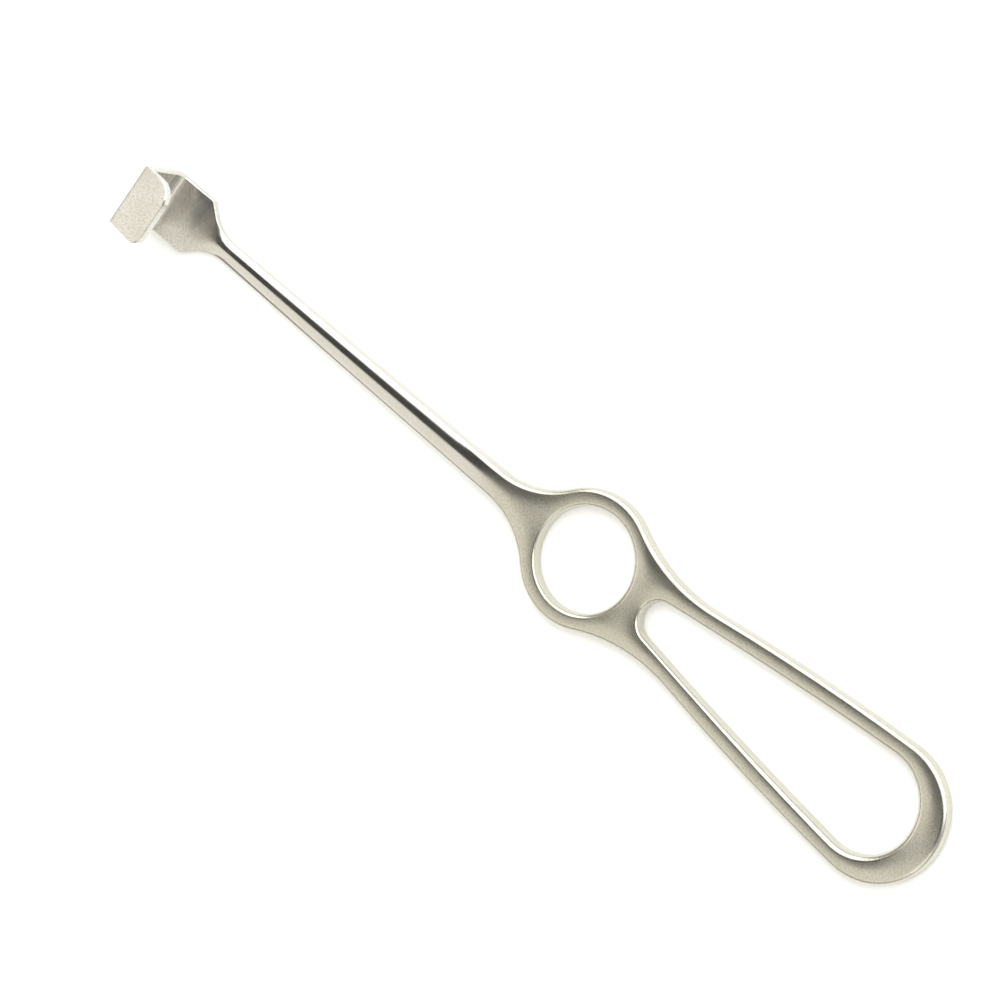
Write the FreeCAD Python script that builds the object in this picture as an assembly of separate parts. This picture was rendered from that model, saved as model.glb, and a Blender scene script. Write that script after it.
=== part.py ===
import FreeCAD, Part
import math
import os

# Handheld surgical retractor, forged from one bar of stainless steel.
# It lies on its flat back. The origin is on the back, at half the length and half the width.
# +X runs along the handle to the loop, +Y across it, +Z up towards the blade's lip.

# Overall
overall_length = 240.0       # outer face of the blade to the end of the loop
handle_thickness = 4.0       # ring, neck and loop
ring_from_blade = 135.5      # outer face of the blade to the centre of the ring

# Blade: a flat plate that turns up at its end and then back towards the handle
plate_width = 14.6
lip_width = 15.8             # where the lip turns back, for the upright widens towards it
lip_offset = -0.3            # how far the lip stands off the middle of the plate
blade_thickness = 2.0
blade_depth = 17.0           # back of the handle to the outer corner of the lip
plate_length = 11.8          # outer face of the blade to the rounded shoulders
lip_length = 10.3
lip_rise_angle = 12.0        # degrees, the lip climbs towards its free edge
inner_bend_radius = 2.2
outer_bend_radius = 1.8
lip_bend_radius = 0.8
lip_corner_radius = 2.8      # free corner of the lip on the -Y side
lip_far_corner_radius = 4.5  # free corner of the lip on the +Y side, ground rounder
blade_edge_bevel = 0.25      # every sharp corner of the blade is broken by this much

# Fan between the blade and the shank
fan_radius = 10.7
shoulder_radius = 1.5

# Shank: rounded on top, thinnest and narrowest at the fan
shank_tip_width = 5.0
shank_tip_thickness = 2.3
shank_tip_edge_radius = 0.7
shank_width = 6.8            # where it meets the web of the ring
shank_crown = 0.9            # height of the rounded top over its own edges
crown_runout = 14.0          # length over which the crown flattens before the web
web_radius = 21.5

# Finger ring
ring_hole_diameter = 24.0
ring_outer_diameter = 32.0
ring_near_edge_radius = 0.6  # upper edge of the hole at the shank
ring_far_edge_radius = 1.4   # and at the neck, where it is worn round
handle_edge_radius = 1.3     # outer edges of the ring, the neck and the loop
hole_back_bevel = 0.45       # both holes at the back

# Neck and teardrop loop
neck_width = 19.7
neck_radius = 41.5
loop_width = 33.0
arm_outer_radius = 590.0
loop_hole_from_ring = 17.8   # centre of the ring to the near end of the loop's opening
loop_hole_tip_radius = 4.8
loop_hole_end_radius = 11.9
loop_end_bar = 7.75          # metal between the opening and the end of the loop
arm_inner_radius = 1030.0
loop_near_edge_radius = 0.8  # upper edge of the opening at the neck
loop_far_edge_radius = 1.6   # and at the far end

# Number of sections that each lofted stretch runs through
FAN_SECTIONS = 11
SHOULDER_SECTIONS = 5
SHANK_SECTIONS = 9

NEAR = 1e-3                  # lengths closer than this count as equal
CORNER_ANGLE = 20.0          # degrees, faces that turn by less than this run on smoothly

blade_x = -overall_length / 2
ring_x = blade_x + ring_from_blade
shoulder_x = blade_x + plate_length
up = FreeCAD.Vector(0, 0, 1)


def point(x, y, z=0.0):
    return FreeCAD.Vector(x, y, z)


def blend(start, end, share):
    return start + (end - start) * share


def line(start, end):
    return Part.makeLine(start, end)


def arc_through(start, middle, end):
    return Part.Arc(start, middle, end).toShape()


def plan_arc(centre, radius, start_angle, end_angle):
    """Arc in the plane of the back, between two angles in radians."""
    def at(angle):
        return centre + point(radius * math.cos(angle), radius * math.sin(angle))
    return arc_through(at(start_angle), at((start_angle + end_angle) / 2), at(end_angle))


def heading(start, end):
    return math.atan2(end.y - start.y, end.x - start.x)


def lower_meeting(first, first_distance, second, second_distance):
    """The lower of the two points at the given distances from two centres."""
    span = second.sub(first)
    along = (first_distance ** 2 - second_distance ** 2 + span.Length ** 2) / (2 * span.Length)
    across = math.sqrt(first_distance ** 2 - along ** 2)
    unit = span * (1 / span.Length)
    return first + unit * along + point(unit.y, -unit.x) * across


def mirrored(upper_edges):
    """Closes an outline from its upper half, mirrored about the X axis."""
    return upper_edges + [edge.mirror(point(0, 0), point(0, 1)) for edge in upper_edges]


def prism(edges, height):
    wire = Part.Wire(Part.__sortEdges__(edges))
    return Part.Face(wire).extrude(up * height)


# Ring, neck and loop

ring_centre = point(ring_x, 0)
ring_radius = ring_outer_diameter / 2
web_height = shank_width / 2 + web_radius
web_centre = point(ring_x - math.sqrt((ring_radius + web_radius) ** 2 - web_height ** 2), web_height)
neck_height = neck_width / 2 + neck_radius
neck_centre = point(ring_x + math.sqrt((ring_radius + neck_radius) ** 2 - neck_height ** 2), neck_height)
loop_radius = loop_width / 2
loop_centre = point(overall_length / 2 - loop_radius, 0)
arm_centre = lower_meeting(neck_centre, arm_outer_radius + neck_radius,
                           loop_centre, arm_outer_radius - loop_radius)
hole_tip_centre = point(ring_x + loop_hole_from_ring + loop_hole_tip_radius, 0)
hole_end_centre = point(overall_length / 2 - loop_end_bar - loop_hole_end_radius, 0)
hole_side_centre = lower_meeting(hole_tip_centre, arm_inner_radius - loop_hole_tip_radius,
                                 hole_end_centre, arm_inner_radius - loop_hole_end_radius)


def handle_rim():
    """Outer edge of the handle from the end of the shank round the loop and back."""
    return mirrored([
        plan_arc(web_centre, web_radius, -math.pi / 2, heading(web_centre, ring_centre)),
        plan_arc(ring_centre, ring_radius,
                 heading(ring_centre, web_centre), heading(ring_centre, neck_centre)),
        plan_arc(neck_centre, neck_radius,
                 heading(neck_centre, ring_centre), heading(neck_centre, arm_centre)),
        plan_arc(arm_centre, arm_outer_radius,
                 heading(arm_centre, neck_centre), heading(arm_centre, loop_centre)),
        plan_arc(loop_centre, loop_radius, heading(arm_centre, loop_centre), 0.0),
    ])


def loop_hole_rim():
    """Edge of the teardrop opening, narrow at the neck and round at the far end."""
    tip_heading = heading(hole_side_centre, hole_tip_centre)
    end_heading = heading(hole_side_centre, hole_end_centre)
    return mirrored([
        plan_arc(hole_tip_centre, loop_hole_tip_radius, math.pi, tip_heading),
        plan_arc(hole_side_centre, arm_inner_radius, tip_heading, end_heading),
        plan_arc(hole_end_centre, loop_hole_end_radius, end_heading, 0.0),
    ])


def edges_over(shape, rim, height):
    """Edges of a shape that run over a rim in plan, at one height."""
    found = []
    for edge in shape.Edges:
        box = edge.BoundBox
        if box.ZLength < NEAR and abs(box.ZMin - height) < NEAR:
            middle = edge.valueAt((edge.FirstParameter + edge.LastParameter) / 2)
            marker = Part.Vertex(point(middle.x, middle.y))
            if min(piece.distToShape(marker)[0] for piece in rim) < NEAR:
                found.append(edge)
    return found


def round_evenly_changing(shape, edges, radius_at):
    """Rounds edges by a radius that changes evenly from one end of each edge to the other."""
    document = FreeCAD.newDocument()
    base = document.addObject("Part::Feature", "Base")
    base.Shape = shape
    rounded = document.addObject("Part::Fillet", "Rounded")
    rounded.Base = base
    numbered = []
    for number, edge in enumerate(shape.Edges, 1):
        if any(edge.isSame(wanted) for wanted in edges):
            start = edge.valueAt(edge.FirstParameter)
            end = edge.valueAt(edge.LastParameter)
            numbered.append((number, radius_at(start), radius_at(end)))
    rounded.Edges = numbered
    document.recompute()
    result = rounded.Shape.copy()
    FreeCAD.closeDocument(document.Name)
    return result


def ring_edge_radius(place):
    """Radius of the ring's inner edge: it grows round both sides from the shank to the neck."""
    share = (place.x - ring_x) / ring_hole_diameter + 0.5
    return blend(ring_near_edge_radius, ring_far_edge_radius, share)


def loop_edge_radius(place):
    """Radius of the opening's edge: it grows along the arms towards the far end."""
    share = (place.x - hole_tip_centre.x) / (hole_end_centre.x - hole_tip_centre.x)
    return blend(loop_near_edge_radius, loop_far_edge_radius, min(1.0, max(0.0, share)))


def make_handle():
    """Ring, neck and loop as one plate with rounded edges and two openings."""
    rim = handle_rim()
    shank_end = [line(point(web_centre.x, -shank_width / 2), point(web_centre.x, shank_width / 2))]
    solid = prism(rim + shank_end, handle_thickness)
    outer_edges = edges_over(solid, rim, 0) + edges_over(solid, rim, handle_thickness)
    solid = solid.makeFillet(handle_edge_radius, outer_edges)
    ring_hole = [plan_arc(ring_centre, ring_hole_diameter / 2, start, start + math.pi)
                 for start in (0, math.pi)]
    loop_hole = loop_hole_rim()
    for hole in (ring_hole, loop_hole):
        solid = solid.cut(prism(hole, handle_thickness))
        solid = solid.makeChamfer(hole_back_bevel, edges_over(solid, hole, 0))
    for hole, radius_at in ((ring_hole, ring_edge_radius), (loop_hole, loop_edge_radius)):
        solid = round_evenly_changing(solid, edges_over(solid, hole, handle_thickness), radius_at)
    return solid


# Shank and fan, lofted through sections with a flat back, two upright sides and a rounded top

def top_corner(half_width, thickness, crown, edge_radius):
    """Height of the centre of a top corner's rounding, and the point where it meets the top."""
    corner_y = half_width - edge_radius
    if crown < NEAR:
        return thickness - edge_radius, corner_y, thickness
    crown_radius = (half_width ** 2 + crown ** 2) / (2 * crown)
    crown_base = thickness - crown_radius
    rise = math.sqrt((crown_radius - edge_radius) ** 2 - corner_y ** 2)
    scale = crown_radius / (crown_radius - edge_radius)
    return crown_base + rise, corner_y * scale, crown_base + rise * scale


def section(x, half_width, thickness, crown, edge_radius):
    """Closed section across the bar at x, with rounded corners and a crowned or flat top."""
    corner_y = half_width - edge_radius
    corner_z, top_y, top_z = top_corner(half_width, thickness, crown, edge_radius)
    corner_heading = math.atan2(top_z - corner_z, top_y - corner_y) / 2
    shoulder_y = corner_y + edge_radius * math.cos(corner_heading)
    shoulder_z = corner_z + edge_radius * math.sin(corner_heading)
    foot_radius = min(edge_radius, corner_z / 2)
    foot_y = half_width - foot_radius
    bulge_y = foot_y + foot_radius * math.sqrt(0.5)
    bulge_z = foot_radius - foot_radius * math.sqrt(0.5)

    def at(y, z):
        return FreeCAD.Vector(x, y, z)

    if crown < NEAR:
        top = line(at(-top_y, top_z), at(top_y, top_z))
    else:
        top = arc_through(at(-top_y, top_z), at(0, thickness), at(top_y, top_z))
    return Part.Wire([
        top,
        arc_through(at(top_y, top_z), at(shoulder_y, shoulder_z), at(half_width, corner_z)),
        line(at(half_width, corner_z), at(half_width, foot_radius)),
        arc_through(at(half_width, foot_radius), at(bulge_y, bulge_z), at(foot_y, 0)),
        line(at(foot_y, 0), at(-foot_y, 0)),
        arc_through(at(-foot_y, 0), at(-bulge_y, bulge_z), at(-half_width, foot_radius)),
        line(at(-half_width, foot_radius), at(-half_width, corner_z)),
        arc_through(at(-half_width, corner_z), at(-shoulder_y, shoulder_z), at(-top_y, top_z)),
    ])


fan_rise = (plate_width - shank_tip_width) / 2
fan_angle = math.acos(1 - fan_rise / (fan_radius + shoulder_radius))
fan_start_x = shoulder_x + (fan_radius + shoulder_radius) * math.sin(fan_angle)


def make_shank():
    """Tapered shank whose rounded top dies out just before the web of the ring."""
    length = web_centre.x - fan_start_x
    sections = []
    for index in range(SHANK_SECTIONS):
        share = index / (SHANK_SECTIONS - 1)
        to_web = length * (1 - share)
        swelling = 1 - (1 - share) ** 2
        sections.append(section(
            fan_start_x + length * share,
            blend(shank_tip_width, shank_width, share) / 2,
            blend(shank_tip_thickness, handle_thickness, swelling),
            shank_crown * min(1.0, to_web / crown_runout),
            blend(shank_tip_edge_radius, handle_edge_radius, swelling)))
    return Part.makeLoft(sections, True, False)


def fan_section(reach, spread):
    """Section of the fan at a reach from its start, wider than the shank by a spread on each side."""
    share = reach / (fan_start_x - shoulder_x)
    return section(fan_start_x - reach,
                   shank_tip_width / 2 + spread,
                   blend(shank_tip_thickness, blade_thickness, share),
                   shank_crown * (1 - share) ** 2,
                   blend(shank_tip_edge_radius, blade_edge_bevel, share))


def make_fan():
    """Hollow curve that spreads from the shank."""
    angles = [fan_angle * index / (FAN_SECTIONS - 1) for index in range(FAN_SECTIONS)]
    sections = [fan_section(fan_radius * math.sin(angle),
                            fan_radius * (1 - math.cos(angle))) for angle in angles]
    return Part.makeLoft(sections, True, False)


def make_shoulders():
    """Round shoulders between the hollow curve and the straight sides of the plate."""
    angles = [fan_angle * (1 - index / (SHOULDER_SECTIONS - 1)) for index in range(SHOULDER_SECTIONS)]
    reach = fan_start_x - shoulder_x
    sections = [fan_section(reach - shoulder_radius * math.sin(angle),
                            fan_rise - shoulder_radius * (1 - math.cos(angle))) for angle in angles]
    return Part.makeLoft(sections, True, False)


# Blade

def edge_across(shape, x, z):
    """The edge that runs straight across the blade at x and z."""
    for edge in shape.Edges:
        box = edge.BoundBox
        level = box.XLength < NEAR and box.ZLength < NEAR
        if level and abs(box.XMin - x) < NEAR and abs(box.ZMin - z) < NEAR:
            return edge
    raise ValueError("no edge across the blade there")


def is_corner(shape, edge):
    """Whether the two faces at an edge meet at an angle and not smoothly."""
    middle = edge.valueAt((edge.FirstParameter + edge.LastParameter) / 2)
    faces = shape.ancestorsOfType(edge, Part.Face)
    normals = [face.normalAt(*face.Surface.parameter(middle)) for face in faces]
    return math.degrees(normals[0].getAngle(normals[1])) > CORNER_ANGLE


def side_waste(side):
    """What is cut from one side of the strip, so that the upright widens evenly to the lip."""
    side_y = side * plate_width / 2
    spread = side * (lip_width - plate_width) / 2 + lip_offset
    reach = blade_depth - blade_thickness
    bottom = point(shoulder_x, side_y, -blade_thickness)
    start = point(shoulder_x, side_y, blade_thickness)
    middle = point(shoulder_x, side_y, blade_thickness + reach)
    top = point(shoulder_x, side_y + 4 * spread, blade_thickness + 2 * reach)
    flare = Part.BezierCurve()
    flare.setPoles([start, middle, top])
    outside = side * 2 * lip_width
    wire = Part.Wire([
        line(bottom, start),
        flare.toShape(),
        line(top, point(shoulder_x, outside, top.z)),
        line(point(shoulder_x, outside, top.z), point(shoulder_x, outside, bottom.z)),
        line(point(shoulder_x, outside, bottom.z), bottom),
    ])
    return Part.Face(wire).extrude(point(blade_x - blade_thickness - shoulder_x, 0))


def make_blade():
    """Plate, upright and lip as one bent strip with round free corners and bevelled edges."""
    climb = math.radians(lip_rise_angle)
    inner_x = blade_x + blade_thickness
    lip_end = point(blade_x + lip_length * math.cos(climb), 0, blade_depth + lip_length * math.sin(climb))
    lip_under = lip_end + point(math.sin(climb), 0, -math.cos(climb)) * blade_thickness
    inner_z = lip_under.z - (lip_under.x - inner_x) * math.tan(climb)
    outline = [
        point(shoulder_x, 0, 0),
        point(blade_x, 0, 0),
        point(blade_x, 0, blade_depth),
        lip_end,
        lip_under,
        point(inner_x, 0, inner_z),
        point(inner_x, 0, blade_thickness),
        point(shoulder_x, 0, blade_thickness),
    ]
    profile = Part.Face(Part.makePolygon(outline + outline[:1]))
    profile.translate(point(0, -lip_width))
    solid = profile.extrude(point(0, 2 * lip_width))
    bends = [
        (blade_x, 0.0, outer_bend_radius),
        (inner_x, blade_thickness, inner_bend_radius),
        (blade_x, blade_depth, lip_bend_radius),
        (inner_x, inner_z, lip_bend_radius),
    ]
    for x, z, radius in bends:
        solid = solid.makeFillet(radius, [edge_across(solid, x, z)])

    for side in (-1, 1):
        solid = solid.cut(side_waste(side))

    for side, radius in ((-1, lip_corner_radius), (1, lip_far_corner_radius)):
        corner = [edge for edge in solid.Edges
                  if edge.BoundBox.XMin > lip_end.x - NEAR
                  and edge.BoundBox.ZMin > lip_under.z - NEAR
                  and edge.BoundBox.YLength < blade_thickness
                  and edge.CenterOfMass.y * side > 0]
        solid = solid.makeFillet(radius, corner)

    corners = [edge for edge in solid.Edges
               if edge.BoundBox.XMin < shoulder_x - NEAR and is_corner(solid, edge)]
    return solid.makeChamfer(blade_edge_bevel, corners)


pieces = [make_shank(), make_fan(), make_shoulders(), make_blade()]
retractor = make_handle().fuse(pieces).removeSplitter().Solids[0]

os.makedirs("parts", exist_ok=True)
retractor.exportStep("parts/retractor.step")
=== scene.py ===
import math

import bmesh
import bpy
from mathutils import Matrix, Vector
from mathutils.kdtree import KDTree


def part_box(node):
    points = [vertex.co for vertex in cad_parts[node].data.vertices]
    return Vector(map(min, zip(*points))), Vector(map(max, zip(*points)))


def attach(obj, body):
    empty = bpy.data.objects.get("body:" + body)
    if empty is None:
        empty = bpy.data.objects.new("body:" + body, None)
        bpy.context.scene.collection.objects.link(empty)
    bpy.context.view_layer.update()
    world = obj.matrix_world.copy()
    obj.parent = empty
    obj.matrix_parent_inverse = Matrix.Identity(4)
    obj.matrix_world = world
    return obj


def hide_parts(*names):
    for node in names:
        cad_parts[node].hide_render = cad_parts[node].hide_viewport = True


bl_info = {
    "name": "Surgical Retractor",
    "version": (1, 0, 0),
    "blender": (4, 5, 0),
    "location": "3D View > Sidebar > Retractor",
    "description": "Finishes a handheld surgical retractor in satin steel and sets it on a studio table",
    "category": "Object",
}

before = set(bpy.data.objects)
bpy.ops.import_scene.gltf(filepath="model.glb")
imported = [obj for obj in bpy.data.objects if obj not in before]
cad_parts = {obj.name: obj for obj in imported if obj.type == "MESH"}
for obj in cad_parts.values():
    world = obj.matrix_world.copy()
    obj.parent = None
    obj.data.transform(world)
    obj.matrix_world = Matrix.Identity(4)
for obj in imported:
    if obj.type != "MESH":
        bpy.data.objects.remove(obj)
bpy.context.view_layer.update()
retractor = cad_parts["retractor"]
low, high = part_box("retractor")

MM = 0.001
NEAR = 0.002 * MM                 # points closer than this are the same point

# Table, camera and lights
FLOOR_SIZE = 6.0
SENSOR_WIDTH = 36.0
CAMERA_TARGET = Vector((-9.41 * MM, -2.51 * MM, 2.0 * MM))
WHITE = (1.0, 1.0, 1.0)
SKY_TINT = (1.0, 0.985, 0.95)
SKY_STOPS = ((0.0, 0.55), (0.65, 0.07))    # height above the table, and brightness there
LIGHT_DISTANCE = 0.8
# Softboxes: the two angles from straight up that each one spans, its length, and its heading
KEY_BOX = (14, 66, 2.4, -90)
SIDE_BOX = (18, 80, 2.4, 90)
END_BOX = (39, 64, 0.9, 180)
FAR_BOX = (38, 80, 1.2, 0)
TABLE_BOX = (-45, 45, 1.6, 0)

# Stretches along the part over which its finish changes
FAN_BLEND = (low.x + 14 * MM, low.x + 20 * MM)         # satin blade to polished shank
HANDLE_BLEND = (low.x + 98 * MM, low.x + 112 * MM)     # polished shank to satin ring
SWELL_START = (low.x + 3 * MM, low.x + 10 * MM)
SWELL_END = (low.x + 12 * MM, low.x + 20 * MM)
FALL_BLEND = (low.x + 4 * MM, low.x + 15 * MM)
ABOVE_PLATE = (5 * MM, 8 * MM)    # height at which the plate's own relief ends
PLATE_CREST = -0.5                # highest line across the plate, in millimetres

# How strongly the textures of the steel show
FINE = 3.0                        # noise layers of the grain and the smudges
ALONG_HANDLE = (0.03, 1.0, 1.0)   # draws the polishing lines out along the handle
PATCH_EDGES = (0.35, 0.7)
PIT_EDGES = (0.42, 0.68)
PIT_SHARE = 0.5
POLISHED_PITS = 0.6               # share of the pits that polishing takes away
HANDLED_SHARE = 0.6
PATCH_SHARE = 0.25
WORN_PATCHES = 0.6
WORN_LINES = 0.5
WORN_GRAIN = 0.4
WORN_LEVEL = 0.7
GRAIN_DEPTH = 0.010               # depths are in millimetres
SMUDGE_DEPTH = 0.05
LINE_DEPTH = 0.0010
POLISHED_RELIEF = 0.85            # share of the relief that polishing takes away

# Shading
SMOOTH_ANGLE = math.radians(32)
FACE_WEIGHT = 50
ROLL_REACH = 3.5                  # reach of the rolled shading, in roll widths
LEAST_UPRIGHT = 0.85              # on the shank, faces that lean more keep their own shading
ROLL_SPACING = 0.3 * MM

# Steps in one half of the bar's section, and distances along the shank
TOP_STEPS = 8
CORNER_STEPS = 6
FOOT_STEPS = 4
BACK_STEPS = 5
SECTION_SPACING = 1.4 * MM
SEAM = 0.35 * MM                  # the shank is joined to the blade and the web over this length
FACE_SPACING = 0.8 * MM           # squares that the flat face of the handle is divided into


# Sizes and colours

def length(name, millimetres, description):
    return bpy.props.FloatProperty(name=name, description=description, default=millimetres * MM,
                                   min=0.0, subtype="DISTANCE", unit="LENGTH")


class ShapeSettings(bpy.types.PropertyGroup):
    """Sizes of the shank and of the hollow fan that spreads from it to the blade."""
    plate_length: length("Plate length", 11.8, "Outer face of the blade to the rounded shoulders")
    plate_width: length("Plate width", 14.6, "Width of the blade's plate")
    plate_thickness: length("Plate thickness", 2.0, "Thickness of the blade's plate")
    plate_edge: length("Plate edge", 0.25, "How much the corners of the plate are broken")
    shoulder_radius: length("Shoulder radius", 1.5,
                            "Rounding between the fan and the plate's straight sides")
    fan_radius: length("Fan radius", 10.7, "Hollow curve of the fan")
    tip_width: length("Shank tip width", 5.0, "Width of the shank at the fan")
    tip_thickness: length("Shank tip thickness", 2.3, "Thickness of the shank at the fan")
    tip_edge: length("Shank tip edge", 0.7, "Rounding of the shank's corners at the fan")
    shank_width: length("Shank width", 6.8, "Width of the shank at the web of the ring")
    shank_thickness: length("Shank thickness", 4.0, "Thickness of the shank at the web of the ring")
    shank_edge: length("Shank edge", 1.3, "Rounding of the shank's corners at the web of the ring")
    shank_crown: length("Crown", 0.9, "Height of the shank's rounded top over its own edges")
    crown_runout: length("Crown run-out", 15.0,
                         "Length over which the crown flattens before the web")
    web_start: length("Web start", 107.46, "Outer face of the blade to the start of the ring's web")
    roll_width: length("Roll width", 1.5, "How far in from their edges the flat faces roll down")
    roll_angle: bpy.props.FloatProperty(
        name="Roll angle", description="How steeply the flat faces roll down at their edges",
        default=math.radians(5.5), min=0.0, subtype="ANGLE", unit="ROTATION")


class SteelSettings(bpy.types.PropertyGroup):
    """Finish of the forged and satin polished steel."""
    steel_colour: bpy.props.FloatVectorProperty(
        name="Steel", description="Reflection colour of the bare steel",
        default=(0.695, 0.68, 0.645), size=3, min=0.0, max=1.0, subtype="COLOR")
    tarnish_colour: bpy.props.FloatVectorProperty(
        name="Handled steel", description="Reflection colour where handling has dulled the steel",
        default=(0.62, 0.605, 0.50), size=3, min=0.0, max=1.0, subtype="COLOR")
    satin_roughness: bpy.props.FloatProperty(
        name="Satin roughness", description="Roughness of the satin blade, ring and loop",
        default=0.25, min=0.05, max=0.8, subtype="FACTOR")
    polish_roughness: bpy.props.FloatProperty(
        name="Polish roughness", description="Roughness of the polished shank",
        default=0.14, min=0.05, max=0.8, subtype="FACTOR")
    roughness_spread: bpy.props.FloatProperty(
        name="Roughness spread", description="How far smudges and wear change the roughness",
        default=0.06, min=0.0, max=0.3, subtype="FACTOR")
    pit_colour: bpy.props.FloatVectorProperty(
        name="Grain colour", description="Reflection colour of the small pits of the grain",
        default=(0.46, 0.445, 0.40), size=3, min=0.0, max=1.0, subtype="COLOR")
    plate_swell: bpy.props.FloatProperty(
        name="Plate swell",
        description="How fast the forged plate curves down to its sides, in slope per millimetre",
        default=0.018, min=0.0, max=0.1)
    plate_fall: bpy.props.FloatProperty(
        name="Plate fall",
        description="How far the forged plate dips from the bend to the fan, in millimetres",
        default=1.7, min=0.0, max=3.0)
    grain_size: bpy.props.FloatProperty(
        name="Grain", description="Size of the fine tumbled grain",
        default=0.36 * MM, min=0.05 * MM, max=3 * MM, subtype="DISTANCE", unit="LENGTH")
    line_spacing: bpy.props.FloatProperty(
        name="Polishing lines", description="Distance between the lines left by the polishing belt",
        default=0.16 * MM, min=0.05 * MM, max=3 * MM, subtype="DISTANCE", unit="LENGTH")
    smudge_size: bpy.props.FloatProperty(
        name="Smudges", description="Size of the faint smudges",
        default=11 * MM, min=1 * MM, max=60 * MM, subtype="DISTANCE", unit="LENGTH")


class StudioSettings(bpy.types.PropertyGroup):
    """Table, lights and camera."""
    table_colour: bpy.props.FloatVectorProperty(
        name="Table", description="Colour of the plain table",
        default=(0.93, 0.93, 0.92), size=3, min=0.0, max=1.0, subtype="COLOR")
    camera_tilt: bpy.props.FloatProperty(
        name="Camera tilt", description="Angle between the line of sight and straight down",
        default=math.radians(25.43), subtype="ANGLE", unit="ROTATION")
    camera_bearing: bpy.props.FloatProperty(
        name="Camera bearing",
        description="Side that the camera leans to, from the handle's direction",
        default=math.radians(36.23), subtype="ANGLE", unit="ROTATION")
    camera_turn: bpy.props.FloatProperty(
        name="Camera turn", description="Direction on the table that points up in the picture",
        default=math.radians(127.81), subtype="ANGLE", unit="ROTATION")
    camera_distance: bpy.props.FloatProperty(
        name="Camera distance", description="Distance from the camera to the middle of the picture",
        default=1.5, min=0.2, max=5.0, subtype="DISTANCE", unit="LENGTH")
    lens: bpy.props.FloatProperty(
        name="Lens", description="Focal length of the camera",
        default=243.32 * MM, min=10 * MM, max=500 * MM, subtype="DISTANCE", unit="LENGTH")
    light_colour: bpy.props.FloatVectorProperty(
        name="Light", description="Colour of the softboxes",
        default=(1.0, 0.965, 0.88), size=3, min=0.0, max=1.0, subtype="COLOR")
    key_brightness: bpy.props.FloatProperty(
        name="Key light", description="Brightness of the long softbox in front of the handle",
        default=1.0, min=0.0, max=20.0)
    side_brightness: bpy.props.FloatProperty(
        name="Side light", description="Brightness of the softbox behind the handle",
        default=2.0, min=0.0, max=20.0)
    end_brightness: bpy.props.FloatProperty(
        name="End light", description="Brightness of the small softbox beyond the blade",
        default=0.45, min=0.0, max=20.0)
    far_brightness: bpy.props.FloatProperty(
        name="Far light", description="Brightness of the softbox beyond the loop",
        default=0.35, min=0.0, max=20.0)
    table_brightness: bpy.props.FloatProperty(
        name="Table light", description="Brightness of the overhead light that whitens the table",
        default=0.72, min=0.0, max=20.0)


# Shader expressions

class Signal:
    """A socket of a node tree that can be used in arithmetic."""

    def __init__(self, shader, socket):
        self.shader = shader
        self.socket = socket

    def combined(self, operation, first, second):
        return self.shader.node("ShaderNodeMath", {"operation": operation}, {0: first, 1: second})

    def __add__(self, other):
        return self.combined("ADD", self, other)

    def __radd__(self, other):
        return self.combined("ADD", other, self)

    def __sub__(self, other):
        return self.combined("SUBTRACT", self, other)

    def __rsub__(self, other):
        return self.combined("SUBTRACT", other, self)

    def __mul__(self, other):
        return self.combined("MULTIPLY", self, other)

    def __rmul__(self, other):
        return self.combined("MULTIPLY", other, self)

    def __truediv__(self, other):
        return self.combined("DIVIDE", self, other)


class Shader:
    """A material's node tree, built node by node."""

    def __init__(self, name):
        self.material = bpy.data.materials.new(name)
        self.material.use_nodes = True
        self.tree = self.material.node_tree
        self.surface = self.tree.nodes["Principled BSDF"]

    def node(self, kind, settings=None, inputs=None, output=0):
        """Adds a node, sets it up, feeds its inputs, and gives the named output."""
        made = self.tree.nodes.new(kind)
        for name, value in (settings or {}).items():
            setattr(made, name, value)
        for name, value in (inputs or {}).items():
            self.feed(made.inputs[name], value)
        return Signal(self, made.outputs[output])

    def feed(self, socket, value):
        if isinstance(value, Signal):
            self.tree.links.new(value.socket, socket)
        else:
            socket.default_value = value

    def noise(self, place, scale, detail=2.0):
        return self.node("ShaderNodeTexNoise", inputs={
            "Vector": place, "Scale": scale, "Detail": detail})

    def stretched(self, place, factors):
        return self.node("ShaderNodeVectorMath", {"operation": "MULTIPLY"}, {0: place, 1: factors})

    def axes(self, place):
        split = self.node("ShaderNodeSeparateXYZ", inputs={0: place}).socket.node
        return [Signal(self, output) for output in split.outputs]

    def smooth_step(self, value, start, end):
        return self.node("ShaderNodeMapRange", {"interpolation_type": "SMOOTHSTEP"}, {
            "Value": value, "From Min": start, "From Max": end})

    def mixed_colour(self, share, first, second):
        return self.node("ShaderNodeMix", {"data_type": "RGBA"}, {0: share, 6: first, 7: second}, 2)


def colour(value):
    return (*value, 1.0)


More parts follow.
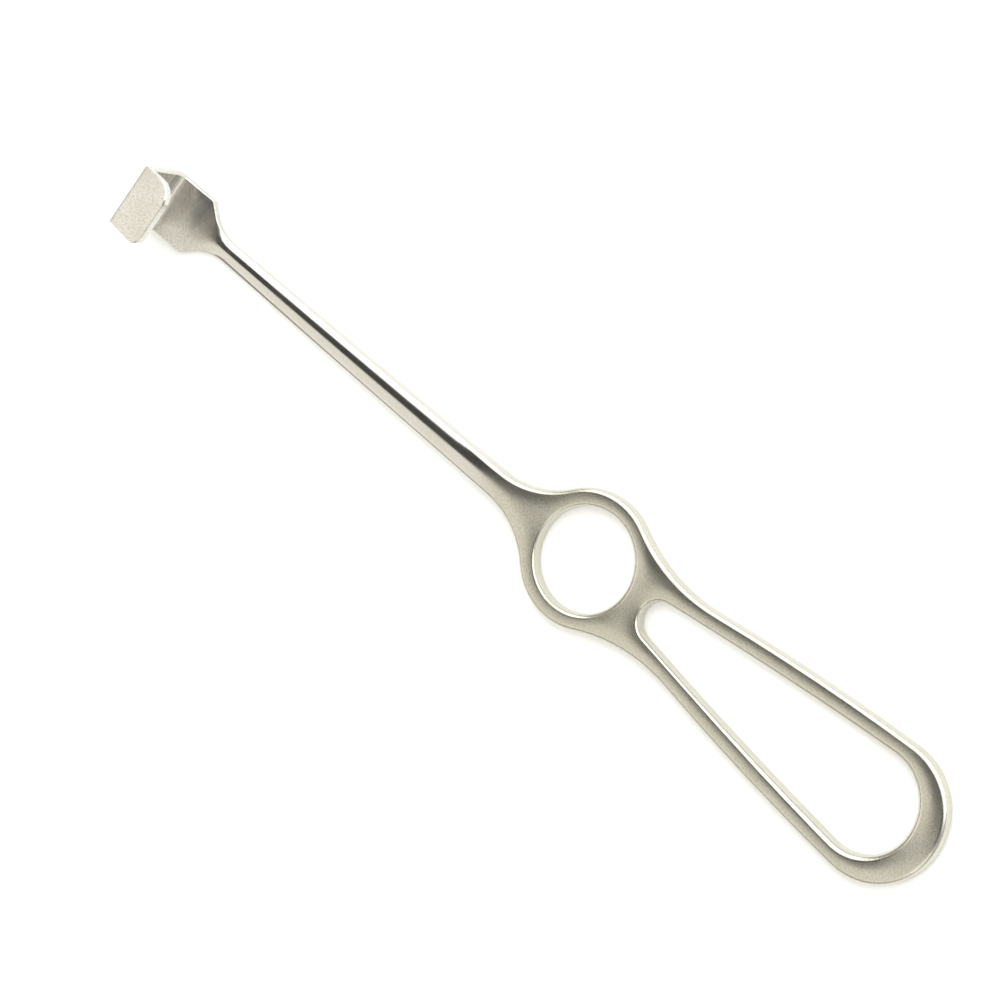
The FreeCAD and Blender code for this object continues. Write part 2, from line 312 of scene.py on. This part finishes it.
def satin_steel(settings):
    """Satin blade, ring and loop and a polished shank, with grain, polishing lines and smudges."""
    shader = Shader("satin_steel")
    place = shader.node("ShaderNodeTexCoord", output="Object")
    x, y, z = shader.axes(place)
    handled = shader.smooth_step(x, *HANDLE_BLEND)
    polished = shader.smooth_step(x, *FAN_BLEND) * (1 - handled)

    grain = shader.noise(place, 1 / settings.grain_size, FINE)
    lines = shader.noise(shader.stretched(place, ALONG_HANDLE), 1 / settings.line_spacing)
    smudges = shader.noise(place, 1 / settings.smudge_size, FINE)
    patches = shader.smooth_step(smudges, *PATCH_EDGES)
    pits = shader.smooth_step(grain, *PIT_EDGES) * (1 - POLISHED_PITS * polished)

    steel = shader.mixed_colour(handled * HANDLED_SHARE + patches * PATCH_SHARE,
                                colour(settings.steel_colour), colour(settings.tarnish_colour))
    shader.feed(shader.surface.inputs["Base Color"],
                shader.mixed_colour(pits * PIT_SHARE, steel, colour(settings.pit_colour)))
    worn = patches * WORN_PATCHES + lines * WORN_LINES + grain * WORN_GRAIN - WORN_LEVEL
    smoother = (settings.polish_roughness - settings.satin_roughness) * polished
    shader.feed(shader.surface.inputs["Roughness"],
                settings.satin_roughness + smoother + settings.roughness_spread * worn)
    shader.surface.inputs["Metallic"].default_value = 1.0

    low_down = 1 - shader.smooth_step(z, *ABOVE_PLATE)
    on_plate = (shader.smooth_step(x, *SWELL_START)
                * (1 - shader.smooth_step(x, *SWELL_END)) * low_down)
    across = y / MM - PLATE_CREST
    swell = across * across * on_plate * (-settings.plate_swell / 2)
    fall = shader.smooth_step(x, *FALL_BLEND) * low_down * settings.plate_fall
    texture = ((grain * GRAIN_DEPTH + smudges * SMUDGE_DEPTH) * (1 - POLISHED_RELIEF * polished)
               + lines * LINE_DEPTH)
    relief = shader.node("ShaderNodeBump", inputs={
        "Strength": 1.0, "Distance": 1.0 * MM, "Height": swell - fall + texture})
    shader.feed(shader.surface.inputs["Normal"], relief)
    return shader.material


def table_surface(settings):
    """Plain pale matt table top."""
    shader = Shader("table_top")
    shader.surface.inputs["Base Color"].default_value = colour(settings.table_colour)
    shader.surface.inputs["Roughness"].default_value = 0.9
    shader.surface.inputs["Specular IOR Level"].default_value = 0.1
    return shader.material


# Shape of the shank

def blend(start, end, share):
    return start + (end - start) * share


def ease(share):
    """Rises from 0 to 1 with a level start and end."""
    share = min(1.0, max(0.0, share))
    return share * share * (3 - 2 * share)


def half_section(half_width, thickness, crown, edge_radius):
    """Half of the bar's outline, from the middle of the top round one side to the middle of the back."""
    crown = max(crown, NEAR)
    crown_radius = (half_width ** 2 + crown ** 2) / (2 * crown)
    crown_base = thickness - crown_radius
    corner_y = half_width - edge_radius
    rise = math.sqrt((crown_radius - edge_radius) ** 2 - corner_y ** 2)
    corner_z = crown_base + rise
    top_end = math.atan2(rise, corner_y)
    top_y = corner_y + edge_radius * math.cos(top_end)
    foot_radius = min(edge_radius, corner_z / 2)
    foot_y = half_width - foot_radius

    points = []
    for step in range(TOP_STEPS):
        y = top_y * step / TOP_STEPS
        points.append((y, crown_base + math.sqrt(crown_radius ** 2 - y ** 2)))
    for step in range(CORNER_STEPS + 1):
        angle = top_end * (1 - step / CORNER_STEPS)
        points.append((corner_y + edge_radius * math.cos(angle),
                       corner_z + edge_radius * math.sin(angle)))
    for step in range(FOOT_STEPS + 1):
        angle = -math.pi / 2 * step / FOOT_STEPS
        points.append((foot_y + foot_radius * math.cos(angle),
                       foot_radius + foot_radius * math.sin(angle)))
    for step in range(1, BACK_STEPS + 1):
        points.append((foot_y * (1 - step / BACK_STEPS), 0.0))
    return points


def section_at(x, shape):
    """The bar's whole outline at x, between the shoulders and the web of the ring."""
    shoulder_x = low.x + shape.plate_length
    web_x = low.x + shape.web_start
    rise = (shape.plate_width - shape.tip_width) / 2
    fan_angle = math.acos(1 - rise / (shape.fan_radius + shape.shoulder_radius))
    fan_length = (shape.fan_radius + shape.shoulder_radius) * math.sin(fan_angle)
    fan_x = shoulder_x + fan_length
    if x < fan_x:
        reach = fan_x - x
        share = reach / fan_length
        if reach < shape.fan_radius * math.sin(fan_angle):
            spread = shape.fan_radius - math.sqrt(shape.fan_radius ** 2 - reach ** 2)
        else:
            spread = rise - shape.shoulder_radius + math.sqrt(
                shape.shoulder_radius ** 2 - (fan_length - reach) ** 2)
        half = half_section(shape.tip_width / 2 + spread,
                            blend(shape.tip_thickness, shape.plate_thickness, share),
                            shape.shank_crown * (1 - ease(share)),
                            blend(shape.tip_edge, shape.plate_edge, share))
    else:
        share = (x - fan_x) / (web_x - fan_x)
        swelling = 1 - (1 - share) ** 2
        half = half_section(blend(shape.tip_width, shape.shank_width, share) / 2,
                            blend(shape.tip_thickness, shape.shank_thickness, swelling),
                            shape.shank_crown * ease((web_x - x) / shape.crown_runout),
                            blend(shape.tip_edge, shape.shank_edge, swelling))
    other = [(-y, z) for y, z in half[-2:0:-1]]
    return [(x, y, z) for y, z in half + other]


def turn_about(corner, middle_z):
    """Angle round the bar's middle line, clockwise from the top."""
    return math.atan2(corner.co.y, corner.co.z - middle_z) % math.tau


def rim_at(work, x, middle_z):
    """Open edge of the mesh at x, in the order of its corners round the bar."""
    corners = {corner for edge in work.edges if edge.is_boundary
               for corner in edge.verts if abs(corner.co.x - x) < NEAR}
    return sorted(corners, key=lambda corner: turn_about(corner, middle_z))


def zip_up(work, first, second, middle_z):
    """Joins two rims of any number of corners by a strip of triangles."""
    first = sorted(first, key=lambda corner: turn_about(corner, middle_z))
    second = sorted(second, key=lambda corner: turn_about(corner, middle_z))
    done_first = done_second = 0
    while done_first < len(first) or done_second < len(second):
        here, there = first[done_first % len(first)], second[done_second % len(second)]
        next_here = first[(done_first + 1) % len(first)]
        next_there = second[(done_second + 1) % len(second)]
        turn_here = turn_about(next_here, middle_z) + math.tau * (done_first + 1 >= len(first))
        turn_there = turn_about(next_there, middle_z) + math.tau * (done_second + 1 >= len(second))
        if done_second >= len(second) or (done_first < len(first) and turn_here <= turn_there):
            work.faces.new((here, next_here, there))
            done_first += 1
        else:
            work.faces.new((here, next_there, there))
            done_second += 1


# Shading of the flat faces

def edge_pulls(mesh, top, web_x):
    """Points along the edges of the flat upper face, each with the way that points off the face."""
    level = {corner.index for corner in mesh.vertices
             if corner.co.x > web_x - NEAR and abs(corner.co.z - top) < NEAR}
    flat_edges, round_edges = set(), {}
    for face in mesh.polygons:
        if level.issuperset(face.vertices):
            flat_edges.update(face.edge_keys)
        else:
            round_edges.update((key, face.center.copy()) for key in face.edge_keys)
    sides = []
    outward = {}
    for key in flat_edges.intersection(round_edges):
        first, second = (mesh.vertices[index].co for index in key)
        if max(first.x, second.x) > web_x + 5 * NEAR:
            along = second - first
            away = Vector((along.y, -along.x, 0)).normalized()
            if away.dot(round_edges[key] - (first + second) / 2) < 0:
                away = -away
            sides.append((key, along.length))
            for index in key:
                outward[index] = outward.get(index, Vector((0, 0, 0))) + away
    pulls = []
    for (first, second), size in sides:
        steps = max(1, round(size / ROLL_SPACING))
        for step in range(steps):
            share = (step + 0.5) / steps
            place = mesh.vertices[first].co.lerp(mesh.vertices[second].co, share)
            away = outward[first].normalized().lerp(outward[second].normalized(), share)
            pulls.append((Vector((place.x, place.y, 0)), away * (size / steps)))
    return pulls


def grown_tree(pulls):
    """Search tree of the points of some pulls."""
    tree = KDTree(len(pulls))
    for index, (place, pull) in enumerate(pulls):
        tree.insert(place, index)
    tree.balance()
    return tree


def shank_pulls(shape, web_x):
    """The same along the end of the shank, where they fade in."""
    pulls = []
    steps = round(shape.crown_runout / ROLL_SPACING)
    for step in range(steps):
        share = (step + 0.5) / steps
        x = web_x - shape.crown_runout * (1 - share)
        y = shape.shank_width / 2 - shape.shank_edge
        for side in (-1, 1):
            pulls.append((Vector((x, side * y, 0)),
                          Vector((0, side, 0)) * (ease(share) * shape.crown_runout / steps)))
    return pulls


# Operators

class RETRACTOR_OT_body(bpy.types.Operator):
    """Model the retractor in one piece with an evenly flowing shank"""
    bl_idname = "retractor.body"
    bl_label = "Model the retractor"

    def execute(self, context):
        shape = context.scene.retractor_shape
        body = bpy.data.objects.new("retractor_body", retractor.data.copy())
        context.scene.collection.objects.link(body)
        bpy.ops.object.select_all(action="DESELECT")
        body.select_set(True)
        context.view_layer.objects.active = body
        bpy.ops.mesh.customdata_custom_splitnormals_clear()
        bpy.ops.object.mode_set(mode="EDIT")
        bpy.ops.mesh.select_all(action="SELECT")
        bpy.ops.mesh.remove_doubles(threshold=NEAR)
        bpy.ops.object.mode_set(mode="OBJECT")
        self.renew_shank(body, shape)
        self.divide_flat_faces(body, shape)
        bpy.ops.object.mode_set(mode="EDIT")
        bpy.ops.mesh.select_all(action="SELECT")
        bpy.ops.mesh.normals_make_consistent(inside=False)
        bpy.ops.object.mode_set(mode="OBJECT")
        bpy.ops.object.shade_smooth_by_angle(angle=SMOOTH_ANGLE)
        flowing = body.modifiers.new("flowing", "WEIGHTED_NORMAL")
        flowing.mode = "FACE_AREA"
        flowing.weight = FACE_WEIGHT
        flowing.keep_sharp = True
        bpy.ops.object.modifier_apply(modifier="flowing")
        self.roll_polish(body, shape)
        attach(body, "root")
        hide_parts("retractor")
        return {"FINISHED"}

    def renew_shank(self, body, shape):
        """Lays even sections along the shank and the fan, in place of the faces there."""
        start = low.x + shape.plate_length
        end = low.x + shape.web_start
        work = bmesh.new()
        work.from_mesh(body.data)
        old = [face for face in work.faces
               if all(start - 5 * NEAR < corner.co.x < end + 5 * NEAR for corner in face.verts)]
        bmesh.ops.delete(work, geom=old, context="FACES")
        count = round((end - start - 2 * SEAM) / SECTION_SPACING)
        rows = []
        for step in range(count + 1):
            x = blend(start + SEAM, end - SEAM, step / count)
            rows.append([work.verts.new(place) for place in section_at(x, shape)])
        for row, following in zip(rows, rows[1:]):
            for index, corner in enumerate(row):
                work.faces.new((corner, row[index - 1], following[index - 1], following[index]))
        for x, row, thickness in ((start, rows[0], shape.plate_thickness),
                                  (end, rows[-1], shape.shank_thickness)):
            zip_up(work, rim_at(work, x, thickness / 2), row, thickness / 2)
        work.to_mesh(body.data)
        work.free()

    def divide_flat_faces(self, body, shape):
        """Divides the flat upper face of the ring, neck and loop into small even squares."""
        top = shape.shank_thickness
        web_x = low.x + shape.web_start
        work = bmesh.new()
        work.from_mesh(body.data)
        faces = [face for face in work.faces if face.calc_center_median().x > web_x
                 and all(abs(corner.co.z - top) < NEAR for corner in face.verts)]
        parts = faces + list({edge for face in faces for edge in face.edges}) + list(
            {corner for face in faces for corner in face.verts})
        cuts = [(Vector((web_x + step * FACE_SPACING, 0, 0)), Vector((1, 0, 0)))
                for step in range(1, int((high.x - web_x) / FACE_SPACING))]
        cuts += [(Vector((0, low.y + step * FACE_SPACING, 0)), Vector((0, 1, 0)))
                 for step in range(1, int((high.y - low.y) / FACE_SPACING))]
        for place, direction in cuts:
            parts = bmesh.ops.bisect_plane(
                work, geom=parts, dist=NEAR, plane_co=place, plane_no=direction)["geom"]
        work.to_mesh(body.data)
        work.free()

    def roll_polish(self, body, shape):
        """Shades the rounded edges evenly, and rolls the flat faces down towards them."""
        mesh = body.data
        top = shape.shank_thickness
        web_x = low.x + shape.web_start
        edges = edge_pulls(mesh, top, web_x)
        rim = edges + shank_pulls(shape, web_x)
        nearest, around = grown_tree(edges), grown_tree(rim)
        width = shape.roll_width
        strength = math.tan(shape.roll_angle) / (width * math.sqrt(math.tau))
        up = Vector((0, 0, 1))
        tilted, rounded = {}, {}
        for corner in mesh.vertices:
            if corner.co.x < web_x - shape.crown_runout or corner.co.z < top / 2:
                continue
            place = Vector((corner.co.x, corner.co.y, 0))
            tilt = Vector((0, 0, 0))
            for spot, index, distance in around.find_range(place, ROLL_REACH * width):
                tilt += rim[index][1] * (strength * math.exp(-distance ** 2 / (2 * width ** 2)))
            if corner.co.x < web_x - 5 * NEAR:
                tilted[corner.index] = tilt
            else:
                spot, index, distance = nearest.find(place)
                away = edges[index][1].normalized()
                reach = max((place - spot).dot(away), NEAR)
                angle = min(2 * math.atan2(top - corner.co.z, reach), math.pi / 2)
                rounded[corner.index] = away * math.sin(angle) + (up + tilt) * math.cos(angle)
        normals = [corner.vector.copy() for corner in mesh.corner_normals]
        for loop in mesh.loops:
            if loop.vertex_index in rounded:
                normals[loop.index] = rounded[loop.vertex_index].normalized()
            elif loop.vertex_index in tilted and normals[loop.index].z > LEAST_UPRIGHT:
                normals[loop.index] = (normals[loop.index] + tilted[loop.vertex_index]).normalized()
        mesh.normals_split_custom_set(normals)


class RETRACTOR_OT_steel(bpy.types.Operator):
    """Give the retractor its satin steel finish"""
    bl_idname = "retractor.steel"
    bl_label = "Finish the steel"

    def execute(self, context):
        steel = satin_steel(context.scene.retractor_steel)
        body = context.scene.objects["retractor_body"]
        body.data.materials.clear()
        body.data.materials.append(steel)
        for slot in retractor.material_slots:
            slot.material = steel
        return {"FINISHED"}


def aimed(back, up):
    """Rotation of a camera or light that looks along -back, with up towards the top of its view."""
    right = up.cross(back).normalized()
    return Matrix((right, back.cross(right).normalized(), back)).transposed().to_euler()


def add_softbox(name, brightness, box, tint):
    """Long softbox that spans two angles from straight up, towards a heading."""
    low_angle, high_angle, length, heading = box
    middle = math.radians((low_angle + high_angle) / 2)
    width = 2 * LIGHT_DISTANCE * math.tan(math.radians(high_angle - low_angle) / 2)
    away = Vector((math.cos(math.radians(heading)), math.sin(math.radians(heading)), 0))
    back = away * math.sin(middle) + Vector((0, 0, math.cos(middle)))
    bpy.ops.object.light_add(type="AREA", location=back * LIGHT_DISTANCE,
                             rotation=aimed(back, Vector((0, 0, 1)) - away * 0.01))
    light = bpy.context.object
    light.name = name
    light.data.shape = "RECTANGLE"
    light.data.size = length
    light.data.size_y = width
    light.data.color = tint
    light.data.energy = brightness * math.pi * length * width
    light.visible_camera = False
    return light


class RETRACTOR_OT_studio(bpy.types.Operator):
    """Set up the table, the lights and the camera"""
    bl_idname = "retractor.studio"
    bl_label = "Set up the studio"

    def execute(self, context):
        settings = context.scene.retractor_studio
        self.add_table(settings)
        self.add_lights(settings)
        self.add_sky()
        self.add_camera(context, settings)
        context.scene.view_settings.view_transform = "Standard"
        return {"FINISHED"}

    def add_table(self, settings):
        bpy.ops.mesh.primitive_plane_add(size=FLOOR_SIZE, location=(0, 0, low.z))
        table = bpy.context.object
        table.name = "table"
        table.data.materials.append(table_surface(settings))

    def add_lights(self, settings):
        tint = settings.light_colour
        add_softbox("key_light", settings.key_brightness, KEY_BOX, tint)
        add_softbox("side_light", settings.side_brightness, SIDE_BOX, WHITE)
        add_softbox("end_light", settings.end_brightness, END_BOX, tint)
        add_softbox("far_light", settings.far_brightness, FAR_BOX, WHITE)
        table_light = add_softbox("table_light", settings.table_brightness, TABLE_BOX, WHITE)
        table_light.visible_glossy = False

    def add_sky(self):
        """Soft grey surroundings, dark overhead and pale at the level of the table."""
        sky = bpy.data.worlds.new("studio")
        sky.use_nodes = True
        nodes = sky.node_tree.nodes
        links = sky.node_tree.links
        place = nodes.new("ShaderNodeTexCoord")
        parts = nodes.new("ShaderNodeSeparateXYZ")
        ramp = nodes.new("ShaderNodeValToRGB")
        for element, (height, grey) in zip(ramp.color_ramp.elements, SKY_STOPS):
            element.position = height
            element.color = colour([grey * part for part in SKY_TINT])
        links.new(place.outputs["Generated"], parts.inputs[0])
        links.new(parts.outputs["Z"], ramp.inputs["Fac"])
        links.new(ramp.outputs["Color"], nodes["Background"].inputs["Color"])
        bpy.context.scene.world = sky

    def add_camera(self, context, settings):
        tilt = settings.camera_tilt
        back = Vector((math.sin(tilt) * math.cos(settings.camera_bearing),
                       math.sin(tilt) * math.sin(settings.camera_bearing), math.cos(tilt)))
        up = Vector((math.cos(settings.camera_turn), math.sin(settings.camera_turn), 0))
        bpy.ops.object.camera_add(location=CAMERA_TARGET + back * settings.camera_distance,
                                  rotation=aimed(back, up))
        camera = bpy.context.object
        camera.name = "camera"
        camera.data.sensor_width = SENSOR_WIDTH
        camera.data.lens = settings.lens / MM
        camera.data.clip_end = 2 * FLOOR_SIZE
        context.scene.camera = camera


class RETRACTOR_PT_panel(bpy.types.Panel):
    """Sidebar panel with the sizes, the colours and the steps"""
    bl_label = "Surgical Retractor"
    bl_idname = "RETRACTOR_PT_panel"
    bl_space_type = "VIEW_3D"
    bl_region_type = "UI"
    bl_category = "Retractor"

    def draw(self, context):
        layout = self.layout
        scene = context.scene
        for settings in (scene.retractor_shape, scene.retractor_steel, scene.retractor_studio):
            column = layout.column()
            for name in settings.__annotations__:
                column.prop(settings, name)
        for step in STEPS:
            layout.operator(step.bl_idname)


STEPS = (RETRACTOR_OT_body, RETRACTOR_OT_steel, RETRACTOR_OT_studio)
CLASSES = (ShapeSettings, SteelSettings, StudioSettings, *STEPS, RETRACTOR_PT_panel)


def register():
    for added in CLASSES:
        bpy.utils.register_class(added)
    bpy.types.Scene.retractor_shape = bpy.props.PointerProperty(type=ShapeSettings)
    bpy.types.Scene.retractor_steel = bpy.props.PointerProperty(type=SteelSettings)
    bpy.types.Scene.retractor_studio = bpy.props.PointerProperty(type=StudioSettings)


def unregister():
    del bpy.types.Scene.retractor_studio
    del bpy.types.Scene.retractor_steel
    del bpy.types.Scene.retractor_shape
    for added in reversed(CLASSES):
        bpy.utils.unregister_class(added)


def main():
    register()
    bpy.ops.retractor.body()
    bpy.ops.retractor.steel()
    bpy.ops.retractor.studio()


if __name__ == "__main__":
    main()
